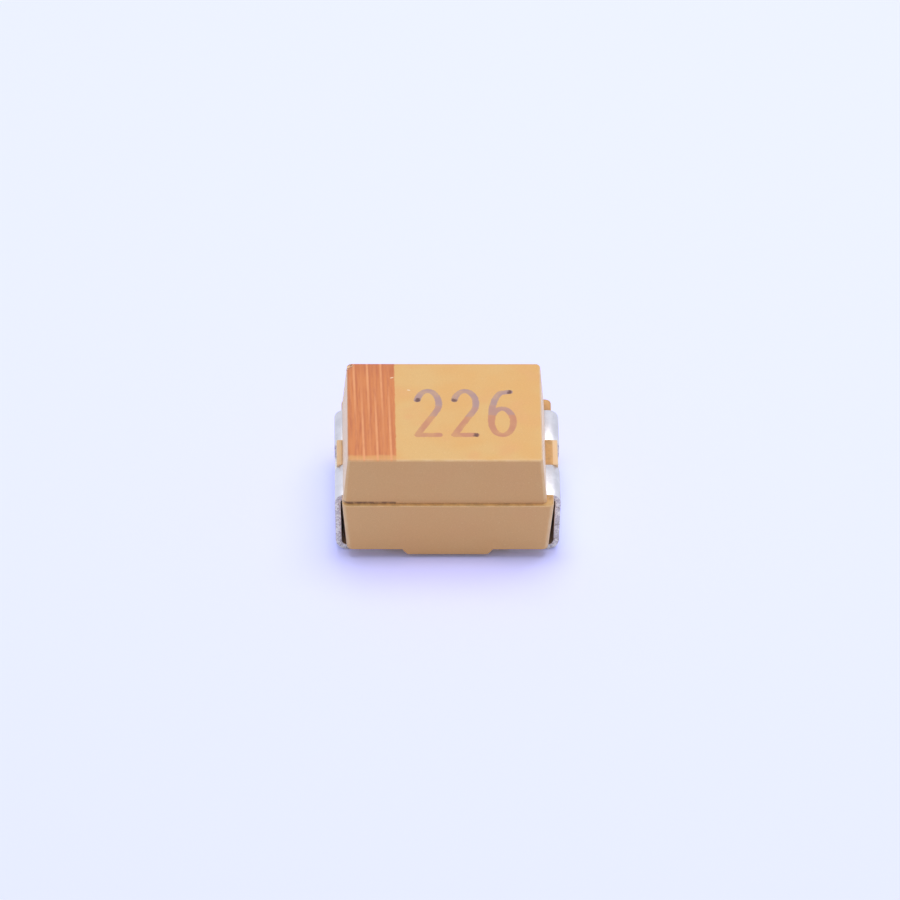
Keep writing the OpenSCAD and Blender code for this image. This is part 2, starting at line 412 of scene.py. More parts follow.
def upper_half(sizes, outline):
    """The upper half, set back by the ledge and out of line; its root is sunk in the lower half."""
    slope = math.tan(sizes.draft)
    root = sizes.parting - 1.5 * sizes.ledge_edge
    rise = CASE_BOX[1].z - root
    inset = (CASE_BOX[1].z - sizes.parting) * slope + sizes.ledge
    top = [side - 2 * inset for side in outline]
    foot = [side + 2 * rise * slope for side in top]
    bm = block(*foot, root)
    corners_rounded(bm, sizes.upper_corner)
    lid = grown(bm, bm.faces[:], (0, 0, rise), (top[0] / foot[0], top[1] / foot[1], 1))
    bmesh.ops.recalc_face_normals(bm, faces=bm.faces)
    rounded(bm, lid[0].edges[:], sizes.top_edge, 6)
    bmesh.ops.translate(bm, verts=bm.verts, vec=(sizes.shift, 0, 0))
    return bm


def case_shell(sizes, leads):
    """Both drafted halves as one body."""
    outline_x = 2 * (CATHODE_BOX[1].x - leads.thickness - leads.leg_gap)
    outline = (outline_x, CASE_BOX[1].y - CASE_BOX[0].y)
    return combined(lower_half(sizes, outline), upper_half(sizes, outline), "UNION")


def with_tongues(bm, sizes, leads):
    """The body with the resin that filled the windows of both leads."""
    low, high = CASE_BOX
    half = leads.window / 2 - PLAY
    tongue = box_bmesh(
        (low.x, -half, sizes.parting - leads.thickness + PLAY),
        (high.x, half, sizes.parting - PLAY),
    )
    ends = [e for e in tongue.edges if abs((e.verts[0].co - e.verts[1].co).x) < NEAR]
    rounded(tongue, ends, 0.2 * leads.thickness, 3)
    return combined(bm, tongue, "UNION")


def hollowed(bm, sizes, leads):
    """The body without the space that the leads and the coated pellet take up."""
    for lead in (anode_strip(leads), cathode_strip(leads)):
        bmesh.ops.translate(lead, verts=lead.verts, vec=(0, 0, PLAY))
        bm = combined(bm, lead, "DIFFERENCE")
    for node in ("silver_paint_layer", "carbon_layer", "manganese_dioxide_layer"):
        bm = combined(bm, coat_bmesh(node, sizes), "DIFFERENCE")
    for node in ("insulating_washer", "anode_wire"):
        bm = combined(bm, rod_bmesh(node, PLAY), "DIFFERENCE")
    play = Vector((PLAY, PLAY, PLAY))
    return combined(bm, box_bmesh(ADHESIVE_BOX[0] - play, ADHESIVE_BOX[1] + play), "DIFFERENCE")


def arc_points(cx, cy, rx, ry, start, stop, steps=14):
    """Points along part of an ellipse, angles in degrees."""
    angles = [math.radians(start + (stop - start) * i / steps) for i in range(steps + 1)]
    return [(cx + rx * math.cos(a), cy + ry * math.sin(a)) for a in angles]


# Strokes of the digits as points in a box 1 wide and 1 high, from its lower left corner
DIGIT_STROKES = {
    "0": [arc_points(0.5, 0.5, 0.5, 0.5, 0, 360, 28)],
    "1": [[(0.25, 0.82), (0.55, 1.0), (0.55, 0.0)]],
    "2": [arc_points(0.5, 0.72, 0.5, 0.28, 165, -35) + [(0.0, 0.0), (1.0, 0.0)]],
    "3": [arc_points(0.47, 0.75, 0.45, 0.25, 150, -90), arc_points(0.47, 0.25, 0.5, 0.25, 90, -150)],
    "4": [[(0.72, 0.0), (0.72, 1.0), (0.0, 0.3), (1.0, 0.3)]],
    "5": [[(0.95, 1.0), (0.1, 1.0), (0.05, 0.56)] + arc_points(0.48, 0.31, 0.5, 0.31, 125, -150)],
    "6": [
        [(0.86, 0.98)]
        + arc_points(0.62, 0.36, 0.62, 0.62, 105, 180)
        + arc_points(0.5, 0.3, 0.5, 0.3, 180, 540, 28)
    ],
    "7": [[(0.0, 1.0), (1.0, 1.0), (0.4, 0.0)]],
    "8": [arc_points(0.5, 0.76, 0.42, 0.24, 0, 360, 28), arc_points(0.5, 0.26, 0.5, 0.26, 0, 360, 28)],
}
DIGIT_STROKES["9"] = [[(1 - u, 1 - v) for u, v in stroke] for stroke in DIGIT_STROKES["6"]]


def distance_to_stroke(x, y, stroke):
    """Distance from a point to a run of straight pieces, all in millimetres."""
    best = 1.0
    for (ax, ay), (bx, by) in zip(stroke, stroke[1:]):
        ex, ey = bx - ax, by - ay
        along = ((x - ax) * ex + (y - ay) * ey) / max(ex * ex + ey * ey, 1e-18)
        along = min(1.0, max(0.0, along))
        best = min(best, math.hypot(x - ax - along * ex, y - ay - along * ey))
    return best


def digit_strokes(marks):
    """Every stroke of the row of digits, in millimetres on the top face."""
    strokes = []
    row = (len(marks.digits) - 1) * marks.digit_pitch
    for place, digit in enumerate(marks.digits):
        left = marks.digit_x - row / 2 + place * marks.digit_pitch - marks.digit_width / 2
        low = marks.digit_y - marks.digit_height / 2
        for stroke in DIGIT_STROKES[digit]:
            strokes.append([(left + u * marks.digit_width, low + v * marks.digit_height) for u, v in stroke])
    return strokes


def smooth(low, high, value):
    """0 below low, 1 above high, and a smooth step between."""
    t = min(1.0, max(0.0, (value - low) / (high - low)))
    return t * t * (3 - 2 * t)


def rough(x, y, size, seed):
    """Smooth noise from -1 to 1 on the top face, with features about the given size in millimetres."""
    return noise.noise(Vector((x / size, y / size, seed)))


def line_strength(x, y, marks):
    """How deep the light lines of the band are cut at a point; each second one starts at the other side."""
    place = (x - marks.slant * y - marks.first) / marks.pitch
    nearest = round(place)
    if not 0 <= nearest < marks.lines:
        return 0.0
    from_back = smooth(-0.5, 0.9, y)
    along = 1 - 0.9 * from_back if nearest % 2 else 0.2 + 0.8 * from_back
    return along * (1 - smooth(0.4, 1.3, abs(place - nearest) * 2 * marks.pitch / marks.line))


def stroke_strength(x, y, marks, strokes):
    """How strongly the digits' strokes show at a point, how scorched they are and how grey."""
    nearest, stroke = min((distance_to_stroke(x, y, run), i) for i, run in enumerate(strokes))
    half = marks.stroke / 2 + 0.005 * rough(x, y, 0.07, 1.3)
    strength = 1 - smooth(half - 0.01, half + 0.01, nearest)

    # The laser dwelt where a stroke starts, and in every second stroke also where it ends
    dwelt = (strokes[stroke][0], strokes[stroke][-1])[: 1 + stroke % 2]
    away = min(math.hypot(x - ex, y - ey) for ex, ey in dwelt) + 0.035 * rough(x, y, 0.06, 4.1)
    scorch = 1 - smooth(0.2 * half, 1.9 * half, away)

    # The strokes are greyest above their middle, at a slightly different height in each
    high = (y - marks.digit_y) / marks.digit_height + 0.13 * math.sin(7.0 * stroke + 1)
    step = smooth(0.02, 0.05, high + 0.02 * rough(x, y, 0.06, 5.5))
    grey = 0.25 + 0.65 * step - 0.3 * smooth(-0.28, -0.24, -high)
    worn = 0.75 + 0.25 * smooth(-0.35, 0.2, rough(x, y, 0.2, 8.1))
    return strength * worn, scorch * strength, max(0.0, grey)


# Bites out of the top's back corner over the anode: each one's middle, seen from the corner, and radius
CHIPS = (((-0.02, -0.035, 0.015), 0.05), ((-0.05, -0.1, -0.02), 0.035))


def chipped(bm):
    """Breaks a small piece off the corner of the top face that stands over the anode, at the back."""
    top = [v.co for v in bm.verts if v.co.z > CASE_BOX[1].z - NEAR]
    corner = Vector((min(co.x for co in top), max(co.y for co in top), CASE_BOX[1].z))
    for place, radius in CHIPS:
        tool = bmesh.new()
        centre = corner + Vector(place)
        bmesh.ops.create_icosphere(tool, subdivisions=3, radius=radius, matrix=Matrix.Translation(centre))
        for vert in tool.verts:
            vert.co += (vert.co - centre) * 0.35 * noise.noise(vert.co / (0.5 * radius))
        bm = combined(bm, tool, "DIFFERENCE")
    bmesh.ops.dissolve_degenerate(bm, dist=2 * NEAR, edges=bm.edges[:])
    return bm


def high_flats(bm, level):
    """The flat faces above the level."""
    return [f for f in bm.faces if all(v.co.z > level for v in f.verts)]


def cells_cut(bm, marks):
    """Divides the top face, apart from its margin, into fine cells, and returns the points inside it."""
    level = max(v.co.z for v in bm.verts) - NEAR
    top = max((f for f in bm.faces if f.calc_center_median().z > level), key=lambda f: f.calc_area())
    low = Vector([min(v.co[i] for v in top.verts) + marks.margin for i in (0, 1)])
    high = Vector([max(v.co[i] for v in top.verts) - marks.margin for i in (0, 1)])
    for axis, place in ((0, low.x), (0, high.x), (1, low.y), (1, high.y)):
        cut_across(bm, high_flats(bm, level), axis, place)
    flats = high_flats(bm, level)

    # The cuts put more points on the rounded faces beside the flat ones, so each gets a middle point too
    beside = dict.fromkeys(f for face in flats for e in face.edges for f in e.link_faces)
    bmesh.ops.poke(bm, faces=[f for f in beside if f not in flats and len(f.verts) > 4])
    field = max(flats, key=lambda f: f.calc_area())
    bmesh.ops.subdivide_edges(bm, edges=field.edges[:], cuts=marks.cells, use_grid_fill=True)
    return [
        v
        for v in bm.verts
        if v.co.z > level and low.x < v.co.x < high.x and low.y < v.co.y < high.y
    ]


def marked(bm, marks):
    """Cuts the laser marks into the top face and stores how strong they are."""
    layer = bm.verts.layers.float_color.new("mark")
    for vert in bm.verts:
        vert[layer] = (0, 0, 0, 0)
    strokes = digit_strokes(marks)
    reach_x = len(marks.digits) * marks.digit_pitch / 2 + marks.stroke
    reach_y = marks.digit_height / 2 + marks.stroke
    for vert in cells_cut(bm, marks):
        x, y = vert.co.x, vert.co.y
        line = stroke = scorch = grey = 0.0
        if x < marks.band_edge:
            line = line_strength(x, y, marks)
        elif abs(x - marks.digit_x) < reach_x and abs(y - marks.digit_y) < reach_y:
            stroke, scorch, grey = stroke_strength(x, y, marks, strokes)
        vert[layer] = (stroke, scorch, grey, 1)
        vert.co.z -= marks.depth * max(0.5 * line, stroke * (0.6 + 0.4 * scorch))
    return bm


class CAPACITOR_OT_case(bpy.types.Operator):
    """Model the moulded case with its laser marks"""

    bl_idname = "capacitor.add_case"
    bl_label = "Moulded Case"

    def execute(self, context):
        scene = context.scene
        sizes, leads, marks = in_mm(scene.case_sizes), in_mm(scene.lead_sizes), in_mm(scene.mark_sizes)
        bm = case_shell(sizes, leads)
        bm = with_tongues(bm, sizes, leads)
        bm = hollowed(bm, sizes, leads)
        bm = chipped(bm)
        bm = marked(bm, marks)
        piece = finished("epoxy_case", bm, [epoxy(scene)], "epoxy", "moulded_case")
        shade(piece.data, SMOOTH)
        weigh_normals(piece)
        return {"FINISHED"}


# ---------------------------------------------------------------- leads


def strip_start(leads, x, width):
    """A sheared end of the strip at the foot's tip, in three columns so that the middle one can be opened."""
    bm = bmesh.new()
    columns = (-width / 2, -leads.window / 2, leads.window / 2, width / 2)
    rows = [[bm.verts.new((x, y, z)) for z in (0, leads.thickness)] for y in columns]
    for left, right in zip(rows, rows[1:]):
        bm.faces.new((left[0], right[0], right[1], left[1]))
    return bm


def bent(bm, faces, centre, degrees, steps):
    """Spins the faces about a line along Y through the centre, and returns the last ones."""
    made = bmesh.ops.spin(
        bm,
        geom=region(faces),
        cent=(centre[0], 0, centre[1]),
        axis=(0, 1, 0),
        angle=-math.radians(degrees),
        steps=steps,
        use_merge=False,
        use_duplicate=False,
    )
    return [g for g in made["geom_last"] if isinstance(g, bmesh.types.BMFace)]


def narrowed(bm, faces, width, along):
    """Steps the strip to another width over a short way."""
    now = max(v.co.y for f in faces for v in f.verts)
    made = grown(bm, faces, along)
    for vert in {v for f in made for v in f.verts}:
        if abs(vert.co.y) > now - NEAR:
            vert.co.y = math.copysign(width / 2, vert.co.y)
    return made


def terminal(leads):
    """Foot, heel, leg, shoulder and the straight that enters the case, on the +X side."""
    low, high = CATHODE_BOX
    steps = leads.bend_steps
    strip_z = high.z - leads.thickness
    shoulder = (high.x - leads.thickness - leads.shoulder, strip_z - leads.shoulder)
    side = leads.shoulder - leads.heel
    lean = leads.lean
    leg = (shoulder[1] - side * math.sin(lean) - leads.thickness - leads.heel) / math.cos(lean)
    heel = (shoulder[0] + side * math.cos(lean) - leg * math.sin(lean), leads.thickness + leads.heel)
    below = (leads.window_low - heel[1]) / math.cos(lean)
    rise = Vector((math.sin(lean), 0, math.cos(lean)))
    window_x = high.x - leads.thickness - leads.leg_gap - leads.window_deep

    foot_tip = high.x - leads.foot
    bm = strip_start(leads, foot_tip, high.y - low.y)
    faces = grown(bm, bm.faces[:], (heel[0] - foot_tip, 0, 0))
    faces = bent(bm, faces, heel, 90 - math.degrees(lean), steps)
    faces = grown(bm, faces, rise * below)
    faces = grown(bm, faces, rise * (leg - below))
    faces = bent(bm, faces, shoulder, 90 + math.degrees(lean), steps)
    faces = grown(bm, faces, (window_x - shoulder[0], 0, 0))
    return bm, faces, window_x


def opened(bm, leads, window_x):
    """Cuts the window: opens the middle column's skins above its low end and joins both holes by walls."""
    inside = leads.window / 2 + NEAR
    skins = [
        f
        for f in bm.faces
        if all(abs(v.co.y) < inside and v.co.x > window_x - NEAR for v in f.verts)
        and f.calc_center_median().z > leads.window_low
        and abs(f.normal.y) < 0.5
    ]
    rim = [e for f in skins for e in f.edges if sum(g in skins for g in e.link_faces) == 1]
    bmesh.ops.delete(bm, geom=skins, context="FACES")
    bmesh.ops.bridge_loops(bm, edges=[e for e in rim if e.is_valid])


def sheared(bm, leads):
    """Rounds the sharp edges and gives the sheared faces the second material."""
    bmesh.ops.recalc_face_normals(bm, faces=bm.faces)
    bm.normal_update()
    for face in bm.faces:
        face.material_index = int(abs(face.normal.y) > 0.9)
    sharp = [e for e in bm.edges if len(e.link_faces) == 2 and e.calc_face_angle(0) > math.radians(50)]
    rounded(bm, sharp, leads.edge, 2)
    return bm


def cathode_strip(leads):
    """The whole cathode lead: terminal, riser and the leaf under the pellet."""
    bm, faces, window_x = terminal(leads)
    low, high = CATHODE_BOX
    strip_z = high.z - leads.thickness
    cradle_top = ADHESIVE_BOX[0].z
    riser_x = ADHESIVE_BOX[1].x
    bend = leads.cradle_bend
    upper = (riser_x + leads.thickness + bend, strip_z - bend)
    lower = (riser_x - bend, cradle_top + bend)
    faces = narrowed(bm, faces, leads.cradle, (-STEP, 0, 0))
    faces = grown(bm, faces, (upper[0] - window_x + STEP, 0, 0))
    faces = bent(bm, faces, upper, 90, leads.bend_steps // 2)
    faces = grown(bm, faces, (0, 0, lower[1] - upper[1]))
    faces = bent(bm, faces, lower, -90, leads.bend_steps // 2)
    grown(bm, faces, (low.x - lower[0], 0, 0))
    bmesh.ops.recalc_face_normals(bm, faces=bm.faces)
    opened(bm, leads, window_x)
    return bm


def anode_strip(leads):
    """The whole anode lead: terminal, bar and the tab with its notch for the wire."""
    bm, faces, window_x = terminal(leads)
    faces = grown(bm, faces, (-leads.bar, 0, 0))
    faces = narrowed(bm, faces, leads.tab, (-STEP, 0, 0))
    grown(bm, faces, (-ANODE_BOX[1].x - (window_x - leads.bar - STEP), 0, 0))
    bmesh.ops.recalc_face_normals(bm, faces=bm.faces)
    opened(bm, leads, window_x)
    bmesh.ops.scale(bm, verts=bm.verts, vec=(-1, 1, 1))
    bmesh.ops.recalc_face_normals(bm, faces=bm.faces)
    return combined(bm, rod_bmesh("anode_wire"), "DIFFERENCE")


class CAPACITOR_OT_leads(bpy.types.Operator):
    """Model the two folded leads"""

    bl_idname = "capacitor.add_leads"
    bl_label = "Folded Leads"

    def execute(self, context):
        scene = context.scene
        leads = in_mm(scene.lead_sizes)
        finish = [tin_plate(scene), sheared_metal(scene)]
        for name, node, strip in (
            ("anode_terminal", "anode_lead", anode_strip),
            ("cathode_terminal", "cathode_lead", cathode_strip),
        ):
            bm = sheared(strip(leads), leads)
            piece = finished(name, bm, finish, "tinned_lead", node)
            shade(piece.data, SMOOTH)
        return {"FINISHED"}


# ---------------------------------------------------------------- finishes


class Nodes:
    """Short calls for adding and joining shader nodes in one material."""

    def __init__(self, name):
        self.material = bpy.data.materials.new(name)
        self.material.use_nodes = True
        self.tree = self.material.node_tree
        self.shader = self.tree.nodes["Principled BSDF"]
        self.place = self.add("ShaderNodeTexCoord")
        self.mm = self.add("ShaderNodeMapping")
        self.mm.inputs["Scale"].default_value = (1 / MM,) * 3
        self.join(self.place.outputs["Object"], self.mm.inputs["Vector"])

    def add(self, kind, **settings):
        node = self.tree.nodes.new(kind)
        for key, value in settings.items():
            setattr(node, key, value)
        return node

    def join(self, source, target):
        self.tree.links.new(source, target)

    def put(self, value, socket):
        """Joins an output to the socket, or sets a plain value on it."""
        if isinstance(value, bpy.types.NodeSocket):
            self.join(value, socket)
        elif socket.type == "RGBA":
            socket.default_value = (*value[:3], 1)
        else:
            socket.default_value = value

    def noise(self, size, detail=2.0, roughness=0.5, stretch=None, shift=None):
        """Noise from 0 to 1 with features about the given size in millimetres."""
        coordinates = self.mm.outputs["Vector"]
        if stretch or shift:
            mapping = self.add("ShaderNodeMapping")
            mapping.inputs["Scale"].default_value = stretch or (1, 1, 1)
            mapping.inputs["Location"].default_value = shift or (0, 0, 0)
            self.join(coordinates, mapping.inputs["Vector"])
            coordinates = mapping.outputs["Vector"]
        texture = self.add("ShaderNodeTexNoise")
        texture.inputs["Scale"].default_value = 1 / size
        texture.inputs["Detail"].default_value = detail
        texture.inputs["Roughness"].default_value = roughness
        self.join(coordinates, texture.inputs["Vector"])
        return texture.outputs["Fac"]

    def range(self, value, from_low, from_high, to_low=0.0, to_high=1.0, smooth_step=True):
        """Maps a range of one value to another, clamped."""
        node = self.add("ShaderNodeMapRange", interpolation_type="SMOOTHSTEP" if smooth_step else "LINEAR")
        self.put(value, node.inputs["Value"])
        node.inputs["From Min"].default_value = from_low
        node.inputs["From Max"].default_value = from_high
        node.inputs["To Min"].default_value = to_low
        node.inputs["To Max"].default_value = to_high
        return node.outputs["Result"]

    def maths(self, operation, first, second=None):
        node = self.add("ShaderNodeMath", operation=operation)
        self.put(first, node.inputs[0])
        if second is not None:
            self.put(second, node.inputs[1])
        return node.outputs[0]

    def product(self, first, *others):
        """All the values multiplied."""
        for other in others:
            first = self.maths("MULTIPLY", first, other)
        return first

    def mix(self, share, first, second):
        """Mixes two colours."""
        node = self.add("ShaderNodeMix", data_type="RGBA")
        self.put(share, node.inputs["Factor"])
        self.put(first, node.inputs[6])
        self.put(second, node.inputs[7])
        return node.outputs[2]

    def bump(self, height, depth, below=None):
        """A bump whose full height is the given depth in millimetres."""
        node = self.add("ShaderNodeBump")
        node.inputs["Distance"].default_value = depth * MM
        self.put(height, node.inputs["Height"])
        if below is not None:
            self.join(below, node.inputs["Normal"])
        return node.outputs["Normal"]

    def axes(self):
        """X, Y and Z on the piece, in millimetres."""
        parts = self.add("ShaderNodeSeparateXYZ")
        self.join(self.mm.outputs["Vector"], parts.inputs[0])
        return parts.outputs

    def facing(self):
        """X, Y and Z of the direction that the surface faces, on the piece."""
        parts = self.add("ShaderNodeSeparateXYZ")
        self.join(self.place.outputs["Normal"], parts.inputs[0])
        return parts.outputs


def spot(n, centre, length_mm, width_mm, degrees):
    """A small soft-edged oval on the top face."""
    x, y, _ = n.axes()
    cosine, sine = math.cos(math.radians(degrees)), math.sin(math.radians(degrees))
    dx, dy = n.maths("SUBTRACT", x, centre[0]), n.maths("SUBTRACT", y, centre[1])
    along = n.maths("ADD", n.product(dx, cosine), n.product(dy, sine))
    across = n.maths("SUBTRACT", n.product(dy, cosine), n.product(dx, sine))
    along = n.maths("DIVIDE", along, length_mm / 2)
    across = n.maths("DIVIDE", across, width_mm / 2)
    reach = n.maths("ADD", n.product(along, along), n.product(across, across))
    return n.range(reach, 0.5, 1.3, 1, 0)


def band_lines(n, marks):
    """The light lines of the band and the dark side of each, as two strengths."""
    x, y, _ = n.axes()
    straight = n.maths("SUBTRACT", x, n.product(y, marks.slant))
    place = n.maths("DIVIDE", n.maths("SUBTRACT", straight, marks.first), marks.pitch)
    from_back = n.range(y, -0.5, 0.9)
    even = n.range(from_back, 0, 1, 0.2, 1.0, False)
    odd = n.range(from_back, 0, 1, 1.0, 0.1, False)
    found = []
    for shift in (0, 0.32):
        here = n.maths("SUBTRACT", place, shift)
        away = n.maths("PINGPONG", here, 0.5)
        width = marks.line / marks.pitch / 2
        crest = n.range(away, 0.3 * width, 1.5 * width, 1, 0)
        second = n.range(n.maths("PINGPONG", here, 1.0), 0.45, 0.55)
        first = n.maths("SUBTRACT", 1, second)
        along = n.maths("ADD", n.product(second, odd), n.product(first, even))
        started = n.maths("GREATER_THAN", here, -0.5)
        going = n.maths("LESS_THAN", here, marks.lines - 0.5)
        found.append(n.product(crest, along, n.product(started, going)))
    return found


def epoxy_body(n, finish):
    """The moulded epoxy: clouds, upright walls tinted pinker as painted light from the floor, a painted
    highlight along the edges and the grain of its filler.
    """
    turned = [n.maths("ABSOLUTE", part) for part in n.facing()]
    clouds = n.range(n.noise(0.9, 2, 0.55), 0.38, 0.66)
    colour_now = n.mix(clouds, finish.epoxy, finish.epoxy_pale)
    warm = n.range(n.noise(0.6, 2, 0.5, shift=(7, 3, 1)), 0.5, 0.72, 0, 0.8)
    colour_now = n.mix(warm, colour_now, finish.epoxy_warm)
    # Painted light: upright walls are tinted pinker to stand in for the bluish light they catch from the
    # floor
    upright = n.range(turned[2], 0.35, 0.9, 0.75, 0)
    colour_now = n.mix(upright, colour_now, finish.epoxy_side)

    # Painted highlight: the rounded edges are painted lighter, in patches, for the light they catch
    squarest = n.maths("MAXIMUM", n.maths("MAXIMUM", turned[0], turned[1]), turned[2])
    edges = n.range(squarest, 0.8, 0.96, 1, 0)
    highlighted = n.range(n.noise(0.2, 3, 0.6, shift=(3, 2, 8)), 0.3, 0.65, 0.25, 0.65)
    colour_now = n.mix(n.product(edges, highlighted), colour_now, finish.epoxy_edge)

    grain = n.range(n.noise(0.018, 3, 0.6), 0.3, 0.75, 0, 0.12)
    colour_now = n.mix(grain, colour_now, finish.epoxy_grain)
    pale = n.range(n.noise(0.03, 2, 0.5, shift=(1, 9, 4)), 0.62, 0.74, 0, 0.22)
    return n.mix(pale, colour_now, finish.epoxy_fleck)


def with_band(n, colour_now, finish, marks, lasered, wobble):
    """The colour with the scorched band: streaks along its length, and lines with a dark side each."""
    y = n.axes()[1]
    fade = n.maths("ADD", y, n.product(wobble, 3))
    front = n.range(fade, marks.band_front - 0.04, marks.band_front + 0.03, 0.45, 1)
    streaks = n.noise(0.045, 4, 0.65, stretch=(1, 0.07, 1))
    scorched = n.mix(n.range(streaks, 0.42, 0.72), finish.band, finish.band_dark)
    scorched = n.mix(n.range(y, 0.75, 1.25, 0, 0.5), scorched, finish.band_dark)
    light, dark = band_lines(n, marks)
    scorched = n.mix(n.product(dark, 0.55), scorched, finish.band_dark)
    colour_now = n.mix(n.product(lasered, front), colour_now, scorched)
    ragged = n.range(n.noise(0.06, 3, 0.6, stretch=(1, 0.3, 1)), 0.3, 0.6, 0.7, 1)
    return n.mix(n.product(light, ragged, lasered, 0.9), colour_now, finish.band_line)


def with_digits(n, colour_now, finish, mark):
    """The colour with the digits' strokes, from the strengths stored on the mesh."""
    stroke, scorch, grey = mark
    ink = n.mix(grey, finish.digit, finish.digit_grey)
    rough_edge = n.range(n.noise(0.025, 2, 0.6), 0.35, 0.65, -0.25, 0.25, False)
    crisp = n.range(n.maths("ADD", stroke, rough_edge), 0.35, 0.65)
    colour_now = n.mix(n.product(crisp, stroke), colour_now, ink)
    patches = n.range(n.noise(0.03, 3, 0.65), 0.3, 0.7, -0.4, 0.3, False)
    spotty = n.range(n.maths("ADD", scorch, patches), 0.35, 0.8)
    return n.mix(n.product(spotty, scorch, 0.9), colour_now, finish.scorch)


def with_residue(n, colour_now, finish, sizes, beside):
    """The colour with residue along the parting line, darkest where the laser passed over the ledge."""
    x, _, z = n.axes()
    above = n.maths("SUBTRACT", z, sizes.parting)
    near = n.range(n.maths("ABSOLUTE", n.maths("SUBTRACT", above, 0.004)), 0.004, 0.018, 1, 0)
    foot = n.range(n.maths("ABSOLUTE", n.maths("SUBTRACT", above, 0.02)), 0.01, 0.03, 1, 0)
    patchy = n.noise(0.1, 3, 0.6, shift=(2, 5, 3))
    thin = n.product(near, n.range(patchy, 0.35, 0.7, 0.2, 0.5))
    thick = n.product(foot, beside, n.range(patchy, 0.3, 0.62, 0.3, 1.0))
    residue = n.maths("MAXIMUM", thin, thick)

    # The tongues' ends, painted paler as a painted highlight and kept clear of the residue
    tongue = n.range(n.maths("ABSOLUTE", x), CASE_BOX[1].x - 0.09, CASE_BOX[1].x - 0.07)
    residue = n.product(residue, n.maths("SUBTRACT", 1, tongue))
    colour_now = n.mix(n.product(residue, 0.85), colour_now, finish.parting)
    # Painted highlight: the tongues' ends are painted in the pale colour of the broken corner
    return n.mix(n.product(tongue, 0.6), colour_now, finish.chip_and_highlight)


# Middle of the broken corner, before the mould shift, in millimetres
BROKEN_X, BROKEN_Y = -1.51, 1.19

# Middle of each light fleck in millimetres, and its turn in degrees
FLECKS = (((-0.859, 0.874), 25), ((-0.599, 0.55), -15))


def with_broken_corner(n, colour_now, finish, sizes):
    """The colour with fresh epoxy where the corner of the top broke, and a dark rim round it."""
    corner = n.add("ShaderNodeCombineXYZ")
    for socket, value in zip(corner.inputs, (sizes.shift + BROKEN_X, BROKEN_Y, CASE_BOX[1].z)):
        socket.default_value = value
    away = n.add("ShaderNodeVectorMath", operation="DISTANCE")
    n.join(n.mm.outputs["Vector"], away.inputs[0])
    n.join(corner.outputs[0], away.inputs[1])
    ragged = n.range(n.noise(0.04, 3, 0.6), 0.3, 0.7, -0.03, 0.03, False)
    reach = n.maths("ADD", away.outputs["Value"], ragged)
    rim = n.product(n.range(reach, 0.065, 0.08), n.range(reach, 0.08, 0.1, 1, 0))
    colour_now = n.mix(n.range(reach, 0.06, 0.075, 0.85, 0), colour_now, finish.chip_and_highlight)
    return n.mix(n.product(rim, 0.5), colour_now, finish.parting)


def epoxy(scene):
    """Moulded epoxy: clouded tan with a fine filler grain, scorched by the laser in the band and digits."""
    finish, sizes, marks = scene.finishes, in_mm(scene.case_sizes), in_mm(scene.mark_sizes)
    n = Nodes("epoxy")
    x, y, z = n.axes()

    # The laser came from above, so it marked what faces up on its side of the band's edge
    wobble = n.range(n.noise(0.12, 2), 0.2, 0.8, -0.008, 0.008, False)
    edge = n.maths("ADD", n.product(y, 0.3 * marks.slant), wobble)
    edge = n.maths("SUBTRACT", n.maths("SUBTRACT", x, edge), marks.band_edge)
    beside = n.range(edge, -0.008, 0.012, 1, 0)
    high = n.range(z, sizes.parting + 0.4, sizes.parting + 0.5)
    lasered = n.product(n.range(n.facing()[2], 0.3, 0.8), high, beside)
    mark = n.add("ShaderNodeAttribute", attribute_type="GEOMETRY", attribute_name="mark")
    strengths = n.add("ShaderNodeSeparateColor")
    n.join(mark.outputs["Color"], strengths.inputs[0])

    colour_now = epoxy_body(n, finish)
    colour_now = with_band(n, colour_now, finish, marks, lasered, wobble)
    colour_now = with_digits(n, colour_now, finish, strengths.outputs)
    for centre, degrees in FLECKS:
        fleck = spot(n, centre, marks.fleck_length, marks.fleck_width, degrees)
        colour_now = n.mix(n.product(fleck, high, 0.85), colour_now, finish.chip_and_highlight)
    colour_now = with_residue(n, colour_now, finish, sizes, beside)
    colour_now = with_broken_corner(n, colour_now, finish, sizes)

    n.put(colour_now, n.shader.inputs["Base Color"])
    rougher = n.range(n.noise(0.25, 2), 0.3, 0.7, 0.36, 0.46, False)
    n.put(n.maths("ADD", rougher, n.product(strengths.outputs[0], 0.2)), n.shader.inputs["Roughness"])
    n.shader.inputs["Sheen Weight"].default_value = 0.75
    n.shader.inputs["Sheen Roughness"].default_value = 0.3
    n.shader.inputs["Sheen Tint"].default_value = (1.0, 0.93, 0.92, 1)
    pits = n.bump(n.noise(0.012, 3, 0.7), 0.0016)
    waves = n.bump(n.noise(0.3, 2, 0.5), 0.004, pits)
    n.join(waves, n.shader.inputs["Normal"])
    return n.material


def tin_plate(scene):
    """Matte tin plate with fine grain and rubbing marks."""
    n = Nodes("tin_plate")
    cloud = n.range(n.noise(0.3, 3, 0.6), 0.35, 0.7)
    colour_now = n.mix(cloud, scene.finishes.tin, scene.finishes.tin_cloud)
    scuffs = n.range(n.noise(0.05, 4, 0.7, stretch=(1, 4, 1)), 0.58, 0.75, 0, 0.5)
    colour_now = n.mix(scuffs, colour_now, scene.finishes.tin_scuff)
    n.put(colour_now, n.shader.inputs["Base Color"])
    n.shader.inputs["Metallic"].default_value = 1.0
    n.put(n.range(n.noise(0.08, 3), 0.3, 0.7, 0.36, 0.44, False), n.shader.inputs["Roughness"])
    n.join(n.bump(n.noise(0.02, 4, 0.7), 0.002), n.shader.inputs["Normal"])
    return n.material


